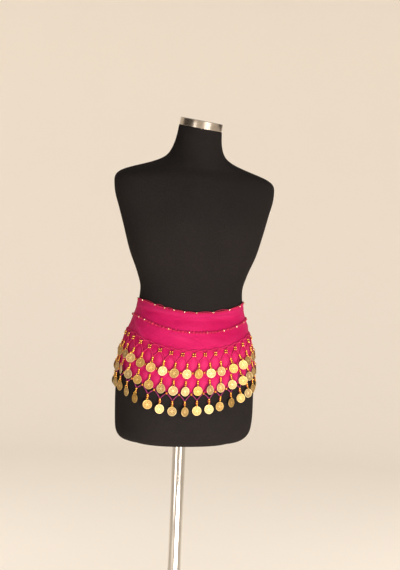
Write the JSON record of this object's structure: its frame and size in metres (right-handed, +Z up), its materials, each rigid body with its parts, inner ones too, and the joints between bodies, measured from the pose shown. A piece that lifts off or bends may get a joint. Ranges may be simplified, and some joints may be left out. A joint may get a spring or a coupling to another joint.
{
  "type": "belly dance belt on a dress form",
  "caption": "Hot pink chiffon hip belt with crochet rows of hanging gold coins, tied round a black limbless dress form on a pole stand.",
  "frame": {"origin": "on the floor, at the centre of the round base under the pole", "axes": "+Z up along the pole, -Y towards the front of the form, +X towards the form's own left hand side"},
  "size_m": [0.3744, 0.36, 1.4493],
  "materials": {
    "stand_steel": "brushed",
    "pole_steel": "polished",
    "form_jersey": "matt black jersey",
    "belt_chiffon": "hot pink chiffon with a soft sheen",
    "crochet_thread": "magenta crochet thread",
    "gold_coins": "stamped, gold coloured"
  },
  "bodies": {
    "root": {"base_disc": "stand_steel", "base_collar": "pole_steel", "stand_pole": "pole_steel", "dress_form": "form_jersey", "neck_cap": "stand_steel", "belt_cloth": "belt_chiffon", "tie_knot": "belt_chiffon", "tie_tail_left": "belt_chiffon", "tie_tail_right": "belt_chiffon", "top_edging": "crochet_thread", "middle_edging": "crochet_thread", "coin_row_upper": "gold_coins", "coin_row_middle": "gold_coins", "coin_row_lower": "gold_coins"}
  },
  "joints": []
}
